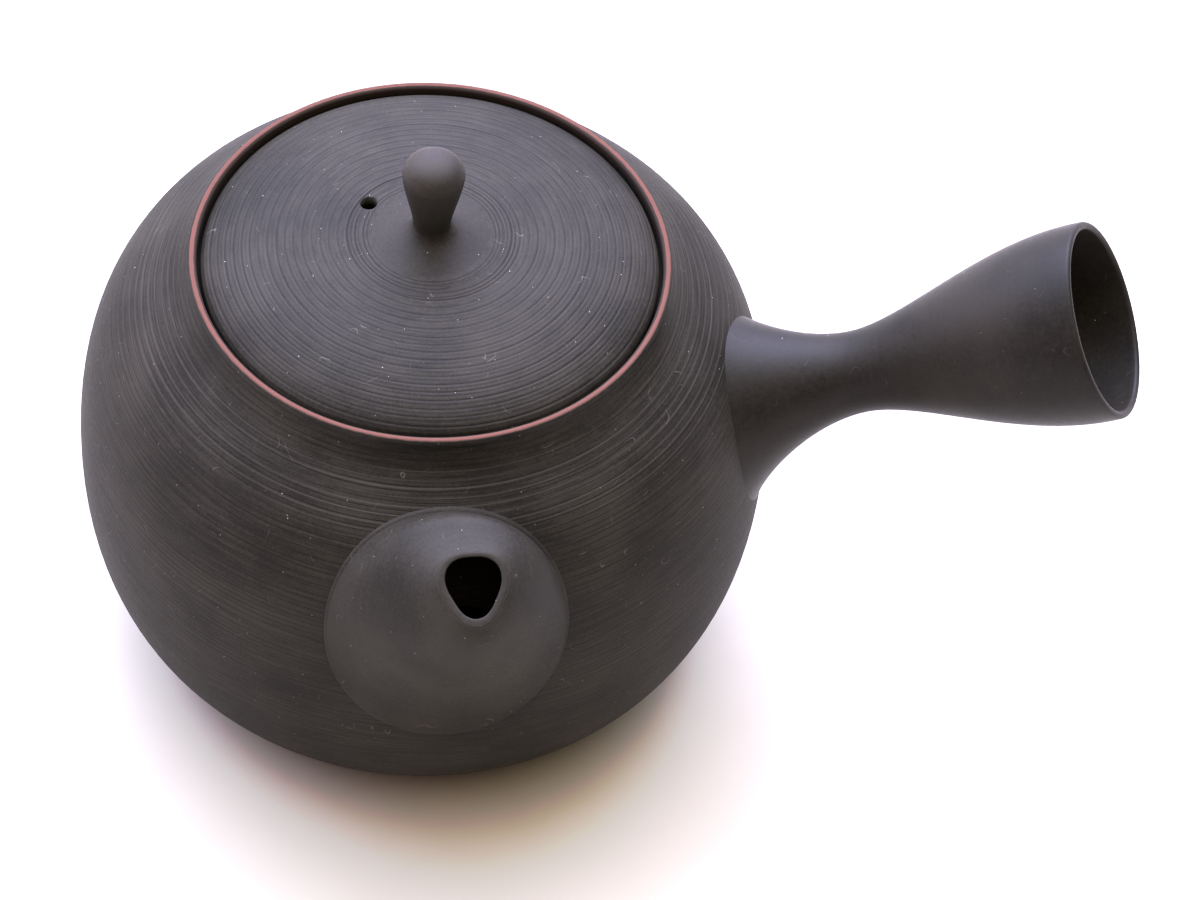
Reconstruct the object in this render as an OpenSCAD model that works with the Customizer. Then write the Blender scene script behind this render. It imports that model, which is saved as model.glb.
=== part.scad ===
// Side-handled teapot of unglazed stoneware with a drop-in lid.
// The foot stands on z = 0 with its centre at the origin. The handle points along +X.
// The spout points towards -Y, a little towards the handle. All sizes are in millimetres.

/* [Body] */
// Greatest diameter of the belly
belly_d = 110; // [80:1:160]
// Height of the greatest diameter above the foot
belly_h = 38.5; // [25:0.5:60]
// Height of the mouth rim above the foot
rim_h = 79; // [60:0.5:120]
// Diameter of the flat foot
foot_d = 79.4; // [50:0.2:110]
// Outside diameter of the collar round the mouth
collar_d = 75.8; // [50:0.2:110]
// Height of the upright part of the collar
collar_h = 1.8; // [1:0.1:6]
// Height of the concave root between shoulder and collar
collar_root = 1.6; // [0.8:0.1:4]
// Wall thickness of the collar
collar_t = 1.5; // [1:0.1:3]
// Roundness of the two edges of the rim
rim_round = 0.5; // [0.2:0.05:0.7]
// Reach of the shoulder curve above the belly
shoulder_reach = 29.2; // [15:0.1:40]
// Length of the steep stretch of the shoulder below the collar
shoulder_end = 7; // [3:0.1:15]
// Steepness of the shoulder where it meets the collar
shoulder_angle = 60.5; // [35:0.5:75]
// Reach of the lower curve below the belly
hip_reach = 20.3; // [10:0.1:30]
// Length of the slanted stretch above the foot
heel_end = 11.8; // [5:0.1:20]
// Steepness of the wall where it leaves the foot
heel_angle = 36; // [20:1:60]
// Wall thickness of the thrown body
wall = 3; // [2:0.1:5]
// Thickness of the floor
floor_t = 4; // [2.5:0.1:7]
// Diameter of the flat part of the floor inside
floor_d = 60; // [40:1:80]

/* [Lid seat] */
// Depth of the seat below the rim
seat_depth = 4.4; // [3:0.1:8]
// Thickness of the seat ledge
ledge_t = 2.6; // [1.5:0.1:5]
// Diameter of the mouth inside the ledge
mouth_d = 65; // [45:0.5:95]

/* [Lid] */
// Gap between the lid edge and the collar
edge_gap = 0.6; // [0.3:0.05:1.5]
// Gap between the flange and the mouth
flange_gap = 0.5; // [0.3:0.05:1.5]
// Depth of the lid edge below the rim
edge_depth = 1.95; // [0:0.05:4]
// Roundness of the upper edge
edge_round = 2; // [0.4:0.1:3]
// Height of the knob seat above the rim
crown_h = 5.4; // [2:0.1:15]
// Slope of the dome beside the knob
crown_angle = 2.5; // [0:0.5:20]
// Slope of the dome at the edge
skirt_angle = 40.5; // [5:0.5:50]
// Length of the two end stretches of the dome curve
dome_reach = 5.1; // [3:0.1:14]
// Thickness of the dome
lid_t = 3.2; // [2:0.1:5]
// Depth of the flange below the seat
flange_h = 5; // [3:0.5:10]
// Thickness of the flange
flange_t = 2.2; // [1.5:0.1:4]
// Diameter of the steam hole
steam_d = 2.7; // [1.5:0.1:5]
// Distance of the steam hole from the axis
steam_r = 11.6; // [10:0.1:25]
// Direction of the steam hole
steam_az = 154.7; // [0:0.1:360]

/* [Knob] */
// Diameter of the flared base
knob_base_d = 18.4; // [12:0.2:30]
// Thickness of the base at its edge
knob_edge_t = 0.3; // [0.2:0.05:1]
// Diameter of the neck
knob_neck_d = 5.8; // [4:0.1:12]
// Height of the neck above the base
knob_neck_h = 2.8; // [1.5:0.1:6]
// Diameter of the head
knob_head_d = 9.7; // [7:0.1:20]
// Height of the widest part of the head above the base
knob_head_h = 13.2; // [8:0.1:25]
// Height of the knob
knob_h = 16.8; // [12:0.1:30]
// Part of the base radius over which the flare stays low
knob_flare = 0.4; // [0.1:0.05:0.6]
// Straightness of the taper from neck to head
knob_taper = 0.3; // [0.1:0.05:0.5]
// Flatness of the top of the head
knob_crown = 0.66; // [0.4:0.02:0.9]

/* [Handle] */
// Slope of the handle
handle_angle = 27.1; // [0:0.1:40]
// Height at which the handle axis meets the pot axis
handle_z = 29.1; // [15:0.1:50]
// Distance along the axis at which the flare of the base begins
handle_start = 51.7; // [40:0.1:70]
// Length from there to the open end
handle_l = 65.8; // [40:0.2:100]
// Diameter of the base flare
handle_base_d = 39; // [24:0.5:50]
// Diameter of the neck
handle_neck_d = 13.1; // [10:0.1:25]
// Distance of the neck from the start of the base flare
handle_neck_l = 25; // [15:0.5:40]
// Diameter of the open end
handle_end_d = 31.2; // [20:0.2:45]
// Wall thickness at the base and neck
handle_wall = 2.4; // [1.5:0.1:4]
// Wall thickness at the open end
handle_lip_t = 1.3; // [0.8:0.1:3]
// Part of the way to the neck over which the root flare runs steeply
root_pull = 0.14; // [0.05:0.01:0.4]
// Part of its radius that the root flare keeps there
root_keep = 0.7; // [0.5:0.01:0.9]
// Part of the way to the neck over which the root flare runs level
neck_pull = 0.4; // [0.2:0.01:0.7]
// Part of the way to the end over which the neck runs level
trumpet_start = 0.24; // [0.1:0.01:0.5]
// Part of the way to the end over which the trumpet runs level
trumpet_end = 0.39; // [0.1:0.01:0.6]
// Swell of the trumpet before its end, as a share of the end radius
trumpet_swell = 1.035; // [0.9:0.005:1.15]

/* [Spout] */
// Direction of the spout base
spout_az = -78.8; // [-110:0.1:-60]
// Depth of the middle of the spout base below the rim
spout_drop = 28; // [20:0.1:45]
// Width of the base along the wall
spout_w = 38.6; // [20:0.2:50]
// Height of the base along the wall
spout_h = 45.6; // [20:0.2:50]
// Height of the edge of the base above the wall
spout_edge = 0.5; // [0.2:0.1:2]
// Wall thickness at the base
spout_wall = 2.6; // [1.5:0.1:4]
// Direction of the mouth of the spout
tip_az = -76.1; // [-110:0.1:-60]
// Distance of the mouth from the pot axis
tip_r = 60.8; // [50:0.1:90]
// Depth of the mouth of the spout below the rim
tip_drop = 6.7; // [-15:0.1:20]
// Upward tilt of the mouth
tip_angle = 62; // [30:1:90]
// Width of the mouth outside
tip_w = 10.5; // [7:0.1:20]
// Length of the mouth outside, from back to pouring lip
tip_l = 11.7; // [8:0.1:24]
// Wall thickness at the mouth
tip_t = 1.1; // [0.6:0.05:2]
// Draw of the mouth into three corners, one of them the pouring lip
lip_pinch = 0.09; // [0:0.01:0.2]
// Shift of the bore back from the pouring lip
lip_over = 0.3; // [0:0.05:0.6]
// Height above the base of the point to which the wall leans as it leaves the base
flare_h = 50; // [8:0.5:80]
// Reach of the wall towards that point
flare_reach = 0.22; // [0.1:0.01:0.6]
// Reach of the wall back from the mouth
neck_reach = 6; // [3:0.5:20]
// Spread of the wall back from the mouth
neck_spread = 1.1; // [0:0.05:1.5]

/* [Strainer] */
// Depth of the middle of the port and the strainer below the rim
port_drop = 33; // [25:0.5:50]
// Diameter of the port through the wall
port_d = 23; // [12:0.5:30]
// Radius of the strainer dome
dome_r = 19; // [14:0.5:26]
// Depth by which the dome stands into the pot
dome_depth = 10.4; // [6:0.2:16]
// Thickness of the strainer
strainer_t = 2.2; // [1.5:0.1:3.5]
// Diameter of the strainer holes
pore_d = 1.4; // [0.8:0.1:2]
// Angle between the rings of holes
pore_step = 8.5; // [6:0.5:14]
// Rings of holes round the middle one
pore_rings = 5; // [1:1:6]

/* [Fits] */
// Seam of slip between luted pieces
seam = 0.05; // [0.02:0.01:0.2]

/* [Hidden] */
$fn = 96;
// Points on each curve, points on each curve of the hollow, points round the spout and rings along it
fine = 18;
hollow_n = 9;
ring_n = 48;
skin_n = 14;
// Reach of a cutter, or of a piece that is cut, past the face where they meet
cut_over = 6;
belly_r = belly_d / 2;
collar_r = collar_d / 2;
foot_r = foot_d / 2;
mouth_r = mouth_d / 2;
seat_z = rim_h - seat_depth;
root_r = collar_r + collar_root / tan(shoulder_angle);
root_z = rim_h - collar_h - collar_root;
lid_r = collar_r - collar_t - edge_gap;
flange_r = mouth_r - flange_gap;
crown_z = rim_h + crown_h;
knob_base_r = knob_base_d / 2;
handle_base_r = handle_base_d / 2;
handle_neck_r = handle_neck_d / 2;
handle_end_r = handle_end_d / 2;
trumpet_l = handle_l - handle_neck_l;
spout_z = rim_h - spout_drop;
tip_z = rim_h - tip_drop;
port_z = rim_h - port_drop;
// Part of the shoulder curve that the hollow follows before it turns in under the ledge
inside_turn = 0.9;
stoneware = [0.24, 0.23, 0.23];
smooth_ware = [0.3, 0.29, 0.29];

// One point of a cubic curve with four control points
function curve_at(p, t) =
    pow(1 - t, 3) * p[0] + 3 * pow(1 - t, 2) * t * p[1]
    + 3 * (1 - t) * t * t * p[2] + pow(t, 3) * p[3];

// Direction of that curve
function curve_dir(p, t) =
    pow(1 - t, 2) * (p[1] - p[0]) + 2 * (1 - t) * t * (p[2] - p[1]) + t * t * (p[3] - p[2]);

// Points along the whole curve
function curve(p, n = fine) = [for (i = [0 : n]) curve_at(p, i / n)];

// One point beside the curve, to its left as it runs
function beside(p, t, d) =
    let (v = curve_dir(p, t))
    curve_at(p, t) + d * [-v[1], v[0]] / norm(v);

// Points of an arc
function arc(c, r, a0, a1, n = 4) =
    [for (i = [0 : n]) c + r * [cos(a0 + (a1 - a0) * i / n), sin(a0 + (a1 - a0) * i / n)]];

// The same list from end to start
function back(list) = [for (i = [len(list) - 1 : -1 : 0]) list[i]];

// Lower outer curve, from the foot up to the belly
heel = [
    [foot_r, 0],
    [foot_r + heel_end * cos(heel_angle), heel_end * sin(heel_angle)],
    [belly_r, belly_h - hip_reach],
    [belly_r, belly_h]
];

// Upper outer curve, from the belly up to the root of the collar
shoulder = [
    [belly_r, belly_h],
    [belly_r, belly_h + shoulder_reach],
    [root_r + shoulder_end * cos(shoulder_angle), root_z - shoulder_end * sin(shoulder_angle)],
    [root_r, root_z]
];

// Inner curve of the lower half, from the floor up to the belly
bowl = [
    [floor_d / 2, floor_t],
    [(floor_d / 2 + belly_r) / 2 + wall, floor_t],
    [belly_r - wall, belly_h - hip_reach],
    [belly_r - wall, belly_h]
];

outer_line = concat(curve(heel), [for (i = [1 : fine]) curve_at(shoulder, i / fine)]);
inner_line = concat(
    curve(bowl, hollow_n),
    [for (i = [1 : hollow_n]) beside(shoulder, inside_turn * i / hollow_n, wall)]
);
rim_line = concat(
    arc([collar_r - rim_round, rim_h - rim_round], rim_round, 0, 90),
    arc([collar_r - collar_t + rim_round, rim_h - rim_round], rim_round, 90, 180)
);

// Outer radius of the pot at a height
radius_table = [for (p = outer_line) [p[1], p[0]]];
function pot_r(z) = lookup(z, radius_table);

// Length along the wall from the foot to each point of the outer line, by height, and the reverse
function run_to(i) = i == 0 ? 0 : run_to(i - 1) + norm(outer_line[i] - outer_line[i - 1]);
run_table = [for (i = [0 : len(outer_line) - 1]) [outer_line[i][1], run_to(i)]];
height_table = [for (p = run_table) [p[1], p[0]]];

// Full outer form of the pot, grown by a seam
module pot_form(grow = 0) {
    rotate_extrude()
        polygon(concat([[0, 0]], [for (p = outer_line) [p[0] + grow, p[1]]], [[0, root_z]]));
}

// Hollow of the pot below the ledge, shrunk by a seam
module pot_hollow(shrink = 0) {
    rotate_extrude()
        polygon(concat(
            [[0, floor_t + shrink]],
            [for (p = inner_line) [p[0] - shrink, p[1]]],
            [[0, inner_line[len(inner_line) - 1][1]]]
        ));
}

// Things that point out of the pot along the spout's direction, at the height of the port
module at_port(r) {
    rotate([0, 0, spout_az])
        translate([r, 0, port_z])
            rotate([0, -90, 0])
                children();
}

// Thrown pot with collar, lid seat and port
module body() {
    color(stoneware)
        difference() {
            rotate_extrude()
                polygon(concat(
                    [[0, 0]],
                    outer_line,
                    [[collar_r, rim_h - collar_h]],
                    rim_line,
                    [[collar_r - collar_t, seat_z], [mouth_r, seat_z], [mouth_r, seat_z - ledge_t]],
                    back(inner_line),
                    [[0, floor_t]]
                ));
            at_port(belly_r + cut_over)
                cylinder(d = port_d, h = belly_r / 2);
        }
}

// Rotation of a flat point to a direction
function turned(p, az) = [p[0] * cos(az) - p[1] * sin(az), p[0] * sin(az) + p[1] * cos(az), p[2]];

// Point of the spout's base line, an ellipse laid along the wall, inset by a wall and lifted off the pot
function base_point(a, inset, lift) =
    let (run = lookup(spout_z, run_table) + (spout_h / 2 - inset) * sin(a))
    let (z = lookup(run, height_table))
    let (r = pot_r(z) + lift)
    let (az = spout_az + (spout_w / 2 - inset) * cos(a) / r * 180 / PI)
    [r * cos(az), r * sin(az), z];

// Point of the spout's mouth, an ellipse drawn into three round corners, inset by a wall
function mouth_point(a, inset) =
    let (corner = 1 + lip_pinch * sin(3 * a))
    let (side = (tip_w / 2 - inset) * cos(a) * corner)
    let (fore = -(tip_l / 2 - inset) * sin(a) * corner - lip_over * inset / tip_t)
    turned([tip_r + fore * sin(tip_angle), side, tip_z - fore * cos(tip_angle)], tip_az);

// Direction out of the mouth
mouth_dir = turned([cos(tip_angle), 0, sin(tip_angle)], tip_az);

// Middle of the mouth, middle of the base, and the point to which the wall leans at the base
mouth_mid = turned([tip_r, 0, tip_z], tip_az);
base_mid = turned([pot_r(spout_z), 0, spout_z], spout_az);
flare_point = base_mid + flare_h * (mouth_mid - base_mid) / norm(mouth_mid - base_mid);

// One point of the spout's skin: a curve from the edge of the base to the mouth
function skin_point(a, s, inset0, inset1) =
    let (b = base_point(a, inset0, spout_edge))
    let (m = mouth_point(a, inset1))
    let (b1 = b + flare_reach * (flare_point - b))
    let (away = (m - mouth_mid) / norm(m - mouth_mid))
    let (m1 = m + neck_reach * (neck_spread * away - mouth_dir))
    curve_at([b, b1, m1, m], s);

// Rings of points of one skin: the first on the pot, the next on the edge above it
function skin(inset0, inset1) =
    [for (j = [0 : skin_n]) for (i = [0 : ring_n - 1])
        let (a = 360 * i / ring_n)
        j == 0
            ? base_point(a, inset0, seam)
            : skin_point(a, (j - 1) / (skin_n - 1), inset0, inset1)];

// Ring of points on the crest of the rounded lip
function crest() =
    [for (i = [0 : ring_n - 1]) mouth_point(360 * i / ring_n, tip_t / 2) + tip_t / 2 * mouth_dir];

// Number of a point in the outer skin (0), the inner skin (1) or the crest (2)
function number(side, j, i) = side * (skin_n + 1) * ring_n + j * ring_n + i % ring_n;

// Hollow round cone with an edged base and a three-cornered mouth
module spout() {
    points = concat(skin(0, 0), skin(spout_wall, tip_t), crest());
    around = [0 : ring_n - 1];
    along = [0 : skin_n - 1];
    outside = [for (j = along) for (i = around) each [
        [number(0, j, i), number(0, j + 1, i), number(0, j + 1, i + 1)],
        [number(0, j, i), number(0, j + 1, i + 1), number(0, j, i + 1)]
    ]];
    inside = [for (j = along) for (i = around) each [
        [number(1, j, i), number(1, j + 1, i + 1), number(1, j + 1, i)],
        [number(1, j, i), number(1, j, i + 1), number(1, j + 1, i + 1)]
    ]];
    foot = [for (i = around) each [
        [number(0, 0, i), number(0, 0, i + 1), number(1, 0, i + 1)],
        [number(0, 0, i), number(1, 0, i + 1), number(1, 0, i)]
    ]];
    lip = [for (i = around) each [
        [number(0, skin_n, i), number(2, 0, i), number(2, 0, i + 1)],
        [number(0, skin_n, i), number(2, 0, i + 1), number(0, skin_n, i + 1)],
        [number(2, 0, i), number(1, skin_n, i), number(1, skin_n, i + 1)],
        [number(2, 0, i), number(1, skin_n, i + 1), number(2, 0, i + 1)]
    ]];
    color(smooth_ware)
        polyhedron(points, concat(outside, inside, foot, lip));
}

// Flare from the pot to the neck of the handle
handle_root = [
    [handle_base_r, 0],
    [handle_base_r * root_keep, handle_neck_l * root_pull],
    [handle_neck_r, handle_neck_l * (1 - neck_pull)],
    [handle_neck_r, handle_neck_l]
];

// Trumpet from the neck to the open end
handle_trumpet = [
    [handle_neck_r, handle_neck_l],
    [handle_neck_r, handle_neck_l + trumpet_l * trumpet_start],
    [handle_end_r * trumpet_swell, handle_l - trumpet_l * trumpet_end],
    [handle_end_r, handle_l]
];

// Wall thickness along the trumpet, from the neck to the lip
function trumpet_wall(t) = handle_wall + (handle_lip_t - handle_wall) * t;

// Hollow trumpet with a rounded lip, cut to the curve of the pot
module handle() {
    lead = handle_root[0] - [0, cut_over];
    lip_r = handle_lip_t / 2;
    outside = concat(
        [lead],
        curve(handle_root),
        [for (i = [1 : fine - 1]) curve_at(handle_trumpet, i / fine)]
    );
    inside = concat(
        [lead - [2 * handle_wall, 0]],
        [for (i = [0 : fine]) beside(handle_root, i / fine, handle_wall)],
        [for (i = [1 : fine - 1]) beside(handle_trumpet, i / fine, trumpet_wall(i / fine))]
    );
    color(smooth_ware)
        difference() {
            translate([0, 0, handle_z])
                rotate([0, 90 - handle_angle, 0])
                    translate([0, 0, handle_start])
                        rotate_extrude()
                            polygon(concat(
                                outside,
                                arc([handle_end_r - lip_r, handle_l], lip_r, 0, 180, 6),
                                back(inside)
                            ));
            pot_form(seam);
        }
}

// Perforated dome over the port, on the inside of the wall
module strainer() {
    centre_r = pot_r(port_z) - wall - dome_depth + dome_r;
    color(smooth_ware)
        difference() {
            intersection() {
                at_port(centre_r)
                    difference() {
                        sphere(r = dome_r);
                        sphere(r = dome_r - strainer_t);
                    }
                pot_hollow(seam);
            }
            at_port(centre_r)
                for (k = [0 : pore_rings])
                    for (i = [0 : max(6 * k, 1) - 1])
                        rotate([0, 0, 360 * i / max(6 * k, 1)])
                            rotate([0, pore_step * k, 0])
                                translate([0, 0, dome_r - 2 * strainer_t])
                                    cylinder(d = pore_d, h = 3 * strainer_t, $fn = 16);
        }
}

// Centre of the rounded lid edge, and the point where the dome runs into it
edge_c = [lid_r - edge_round, rim_h - edge_depth];
edge_p = edge_c + edge_round * [sin(skirt_angle), cos(skirt_angle)];

// Upper curve of the lid, from the knob seat out to the edge
lid_top = [
    [knob_base_r, crown_z],
    [knob_base_r + dome_reach, crown_z - dome_reach * tan(crown_angle)],
    edge_p + dome_reach * [-1, tan(skirt_angle)],
    edge_p
];

// Lower curve of the lid, from the middle out to the flange
lid_under = [
    [knob_base_r, crown_z - lid_t],
    [knob_base_r + dome_reach, crown_z - lid_t - dome_reach * tan(crown_angle)],
    [flange_r - flange_t, seat_z + 2 * lid_t],
    [flange_r - flange_t, seat_z]
];

// Drop-in lid with a locating flange and a steam hole
module lid() {
    flange_z = seat_z - flange_h;
    flange_end = flange_t / 3;
    seat_chamfer = edge_round / 2;
    color(stoneware)
        difference() {
            rotate_extrude()
                polygon(concat(
                    [[0, crown_z]],
                    [for (i = [0 : fine - 1]) curve_at(lid_top, i / fine)],
                    arc(edge_c, edge_round, 90 - skirt_angle, 0),
                    [[lid_r, seat_z + seat_chamfer], [lid_r - seat_chamfer, seat_z]],
                    [[flange_r, seat_z], [flange_r, flange_z + flange_end]],
                    [[flange_r - flange_end, flange_z], [flange_r - flange_t + flange_end, flange_z]],
                    [[flange_r - flange_t, flange_z + flange_end]],
                    back(curve(lid_under)),
                    [[0, crown_z - lid_t]]
                ));
            rotate([0, 0, steam_az])
                translate([steam_r, 0, seat_z])
                    cylinder(d = steam_d, h = seat_depth + crown_h + cut_over);
        }
}

// Drumstick knob with a flared base
module knob() {
    neck_r = knob_neck_d / 2;
    head_r = knob_head_d / 2;
    stem_l = knob_head_h - knob_neck_h;
    crown_l = knob_h - knob_head_h;
    flare = [
        [knob_base_r, knob_edge_t],
        [knob_base_r * (1 - knob_flare), 2 * knob_edge_t],
        [neck_r, knob_neck_h * knob_flare],
        [neck_r, knob_neck_h]
    ];
    stem = [
        [neck_r, knob_neck_h],
        [neck_r + (head_r - neck_r) * knob_taper / 2, knob_neck_h + stem_l * knob_taper],
        [head_r - (head_r - neck_r) * knob_taper / 2, knob_head_h - stem_l * knob_taper],
        [head_r, knob_head_h]
    ];
    head = [
        [head_r, knob_head_h],
        [head_r, knob_head_h + crown_l * knob_crown],
        [head_r * knob_crown, knob_h],
        [0, knob_h]
    ];
    steps = fine / 2;
    color(smooth_ware)
        translate([0, 0, crown_z])
            rotate_extrude()
                polygon(concat(
                    [[0, 0], [knob_base_r, 0]],
                    curve(flare, steps),
                    [for (i = [1 : steps]) curve_at(stem, i / steps)],
                    [for (i = [1 : steps]) curve_at(head, i / steps)]
                ));
}

body();
spout();
handle();
strainer();
lid();
knob();
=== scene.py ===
"""Looks of a side-handled teapot of unglazed black stoneware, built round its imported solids.

Sizes are in millimetres, like the solids' own, and become metres when a mesh is made. The foot
stands on z = 0, the handle points along +X and the spout towards -Y.
"""

import logging
import math
from dataclasses import dataclass, field, replace
from enum import Enum
from typing import Any, Optional, Sequence

import bpy
import numpy as np
from mathutils import Matrix


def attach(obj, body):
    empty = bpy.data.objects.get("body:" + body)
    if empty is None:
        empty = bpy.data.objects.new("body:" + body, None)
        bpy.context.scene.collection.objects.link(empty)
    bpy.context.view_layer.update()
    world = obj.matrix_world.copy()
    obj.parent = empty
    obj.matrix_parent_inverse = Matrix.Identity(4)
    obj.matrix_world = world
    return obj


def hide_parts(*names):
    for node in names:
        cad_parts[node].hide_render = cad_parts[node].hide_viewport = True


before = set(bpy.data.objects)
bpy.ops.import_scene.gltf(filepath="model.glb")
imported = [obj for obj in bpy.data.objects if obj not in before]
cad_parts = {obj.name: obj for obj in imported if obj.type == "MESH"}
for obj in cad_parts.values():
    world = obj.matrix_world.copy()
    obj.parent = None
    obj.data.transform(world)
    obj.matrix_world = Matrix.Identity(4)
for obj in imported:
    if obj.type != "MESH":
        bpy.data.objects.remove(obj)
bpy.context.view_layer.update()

MM = 0.001
LOG = logging.getLogger("teapot")

Tree = bpy.types.NodeTree
Socket = bpy.types.NodeSocket
Pair = tuple[float, float]


class Carrier(Enum):
    """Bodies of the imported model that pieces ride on."""

    POT = "pot"
    COVER = "cover"


class Ware(Enum):
    """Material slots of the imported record."""

    TURNED = "turned_stoneware"
    SMOOTH = "smooth_stoneware"


# Curves and grids


def linear(code: str) -> tuple[float, float, float, float]:
    """Turn an sRGB hex colour into linear red, green, blue and an alpha of one.

    Args:
        code: six hex digits after a hash sign.

    Returns:
        The four linear values.
    """
    srgb = np.array([int(code[i:i + 2], 16) for i in (1, 3, 5)]) / 255.0
    rgb = np.where(srgb <= 0.04045, srgb / 12.92, ((srgb + 0.055) / 1.055) ** 2.4)
    return (float(rgb[0]), float(rgb[1]), float(rgb[2]), 1.0)


def cubic(ends: Sequence[Any], t: np.ndarray) -> np.ndarray:
    """Points of a cubic curve.

    Each is the sum of four control points weighted by (1-t)^3, 3(1-t)^2 t, 3(1-t)t^2 and t^3.

    Args:
        ends: the four control points, or four arrays of them that broadcast with t.
        t: parameter values from 0 to 1.

    Returns:
        One point per parameter value, in the last axis.
    """
    p = [np.asarray(e, float) for e in ends]
    u = np.asarray(t, float)[..., None]
    return (1 - u) ** 3 * p[0] + 3 * (1 - u) ** 2 * u * p[1] + 3 * (1 - u) * u**2 * p[2] + u**3 * p[3]


def cubic_beside(ends: Sequence[Any], t: np.ndarray, offset: Any) -> np.ndarray:
    """Points beside a flat cubic curve: each lies off the curve along its left-hand normal.

    Args:
        ends: the four control points.
        t: parameter values from 0 to 1.
        offset: distance to the left, one for all or one per value.

    Returns:
        One flat point per parameter value.
    """
    p = [np.asarray(e, float) for e in ends]
    u = np.asarray(t, float)[..., None]
    run = (1 - u) ** 2 * (p[1] - p[0]) + 2 * (1 - u) * u * (p[2] - p[1]) + u**2 * (p[3] - p[2])
    run /= np.linalg.norm(run, axis=-1, keepdims=True)
    left = np.stack([-run[..., 1], run[..., 0]], -1)
    return cubic(ends, t) + left * np.broadcast_to(offset, u.shape[:-1])[..., None]


def arc(centre: Sequence[float], radius: float, start: float, end: float, count: int) -> np.ndarray:
    """Points of a circular arc, by the cosine and sine of evenly spaced angles in degrees.

    Args:
        centre: middle of the arc.
        radius: its radius.
        start: first angle.
        end: last angle.
        count: number of points.

    Returns:
        The points.
    """
    a = np.radians(np.linspace(start, end, count))
    return np.asarray(centre, float) + radius * np.stack([np.cos(a), np.sin(a)], -1)


def lengths(line: np.ndarray) -> np.ndarray:
    """Length of a line of points from its first point to each point."""
    return np.concatenate([[0.0], np.cumsum(np.linalg.norm(np.diff(line, axis=0), axis=1))])


def evenly(line: np.ndarray, step: float) -> np.ndarray:
    """Points at an even spacing along a line, found on its running length.

    Args:
        line: the points of the line.
        step: greatest spacing.

    Returns:
        Evenly spaced points, ends included.
    """
    run = lengths(line)
    at = np.linspace(0.0, run[-1], max(2, int(math.ceil(run[-1] / step)) + 1))
    return np.stack([np.interp(at, run, line[:, k]) for k in range(line.shape[1])], -1)


def joined(*lines: np.ndarray) -> np.ndarray:
    """One line from several, without the points that repeat where they meet."""
    line = np.concatenate(lines)
    keep = np.concatenate([[True], np.linalg.norm(np.diff(line, axis=0), axis=1) > 1e-6])
    return line[keep]


def outward(line: np.ndarray) -> np.ndarray:
    """Unit normals to the right of a flat line, from the chord between each point's neighbours."""
    run = np.gradient(line, axis=0)
    run /= np.linalg.norm(run, axis=1, keepdims=True)
    return np.stack([run[:, 1], -run[:, 0]], -1)


def turned_about(points: np.ndarray, degrees: float) -> np.ndarray:
    """Points turned about the pot's axis."""
    c, s = math.cos(math.radians(degrees)), math.sin(math.radians(degrees))
    x, y, z = points[..., 0], points[..., 1], points[..., 2]
    return np.stack([x * c - y * s, x * s + y * c, z], -1)


def mesh_from_grid(name: str, grid: np.ndarray, ring: bool,
                   marks: dict[str, np.ndarray]) -> bpy.types.Object:
    """Make a smooth closed mesh from a grid of points in millimetres.

    Columns close round. Rows close round too for a ring. Otherwise the first and the last row
    lie on an axis, and each becomes one point with a fan of triangles.

    Args:
        name: name of the piece.
        grid: points in rows and columns.
        ring: whether the last row joins the first.
        marks: named numbers for the material, one per point or one per row.

    Returns:
        The new object, at the origin.
    """
    rows, cols = grid.shape[:2]
    number = np.arange(rows * cols).reshape(rows, cols)
    first, last = (0, rows) if ring else (1, rows - 2)
    low = number[first:last]
    high = np.roll(number, -1, 0)[first:last]
    quads = np.stack([low, np.roll(low, -1, 1), np.roll(high, -1, 1), high], -1).reshape(-1, 4)
    fans = np.empty((0, 3), int)
    used = np.ones(rows * cols, bool)
    if not ring:
        used[number[0, 1:]] = used[number[-1, 1:]] = False
        a, b = number[1], number[-2]
        fans = np.concatenate([np.stack([np.full(cols, number[0, 0]), np.roll(a, -1), a], -1),
                               np.stack([np.full(cols, number[-1, 0]), b, np.roll(b, -1)], -1)])
    new = np.cumsum(used) - 1
    points = grid.reshape(-1, 3)
    corner = [points[quads[:, k]] for k in range(4)]
    volume = np.einsum("ij,ij->i", corner[0], np.cross(corner[1], corner[2])).sum()
    volume += np.einsum("ij,ij->i", corner[0], np.cross(corner[2], corner[3])).sum()
    order = 1 if volume > 0 else -1
    faces = new[quads][:, ::order].tolist() + new[fans][:, ::order].tolist()
    mesh = bpy.data.meshes.new(name)
    mesh.from_pydata(points[used] * MM, [], faces, shade_flat=False)
    for key, values in marks.items():
        full = np.broadcast_to(values if values.ndim == 2 else values[:, None], (rows, cols))
        layer = mesh.attributes.new(key, "FLOAT", "POINT")
        layer.data.foreach_set("value", full.reshape(-1)[used].astype(np.float32))
    mesh.validate()
    mesh.update()
    piece = bpy.data.objects.new(name, mesh)
    bpy.context.collection.objects.link(piece)
    return piece


def plain_marks(grid: np.ndarray) -> dict[str, np.ndarray]:
    """Marks of a piece without crests: the running length of its rows, as a mean of its columns."""
    steps = np.linalg.norm(np.diff(grid, axis=0), axis=-1).mean(1)
    return {"crest": np.zeros(len(grid)), "run_mm": np.concatenate([[0.0], np.cumsum(steps)])}


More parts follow.
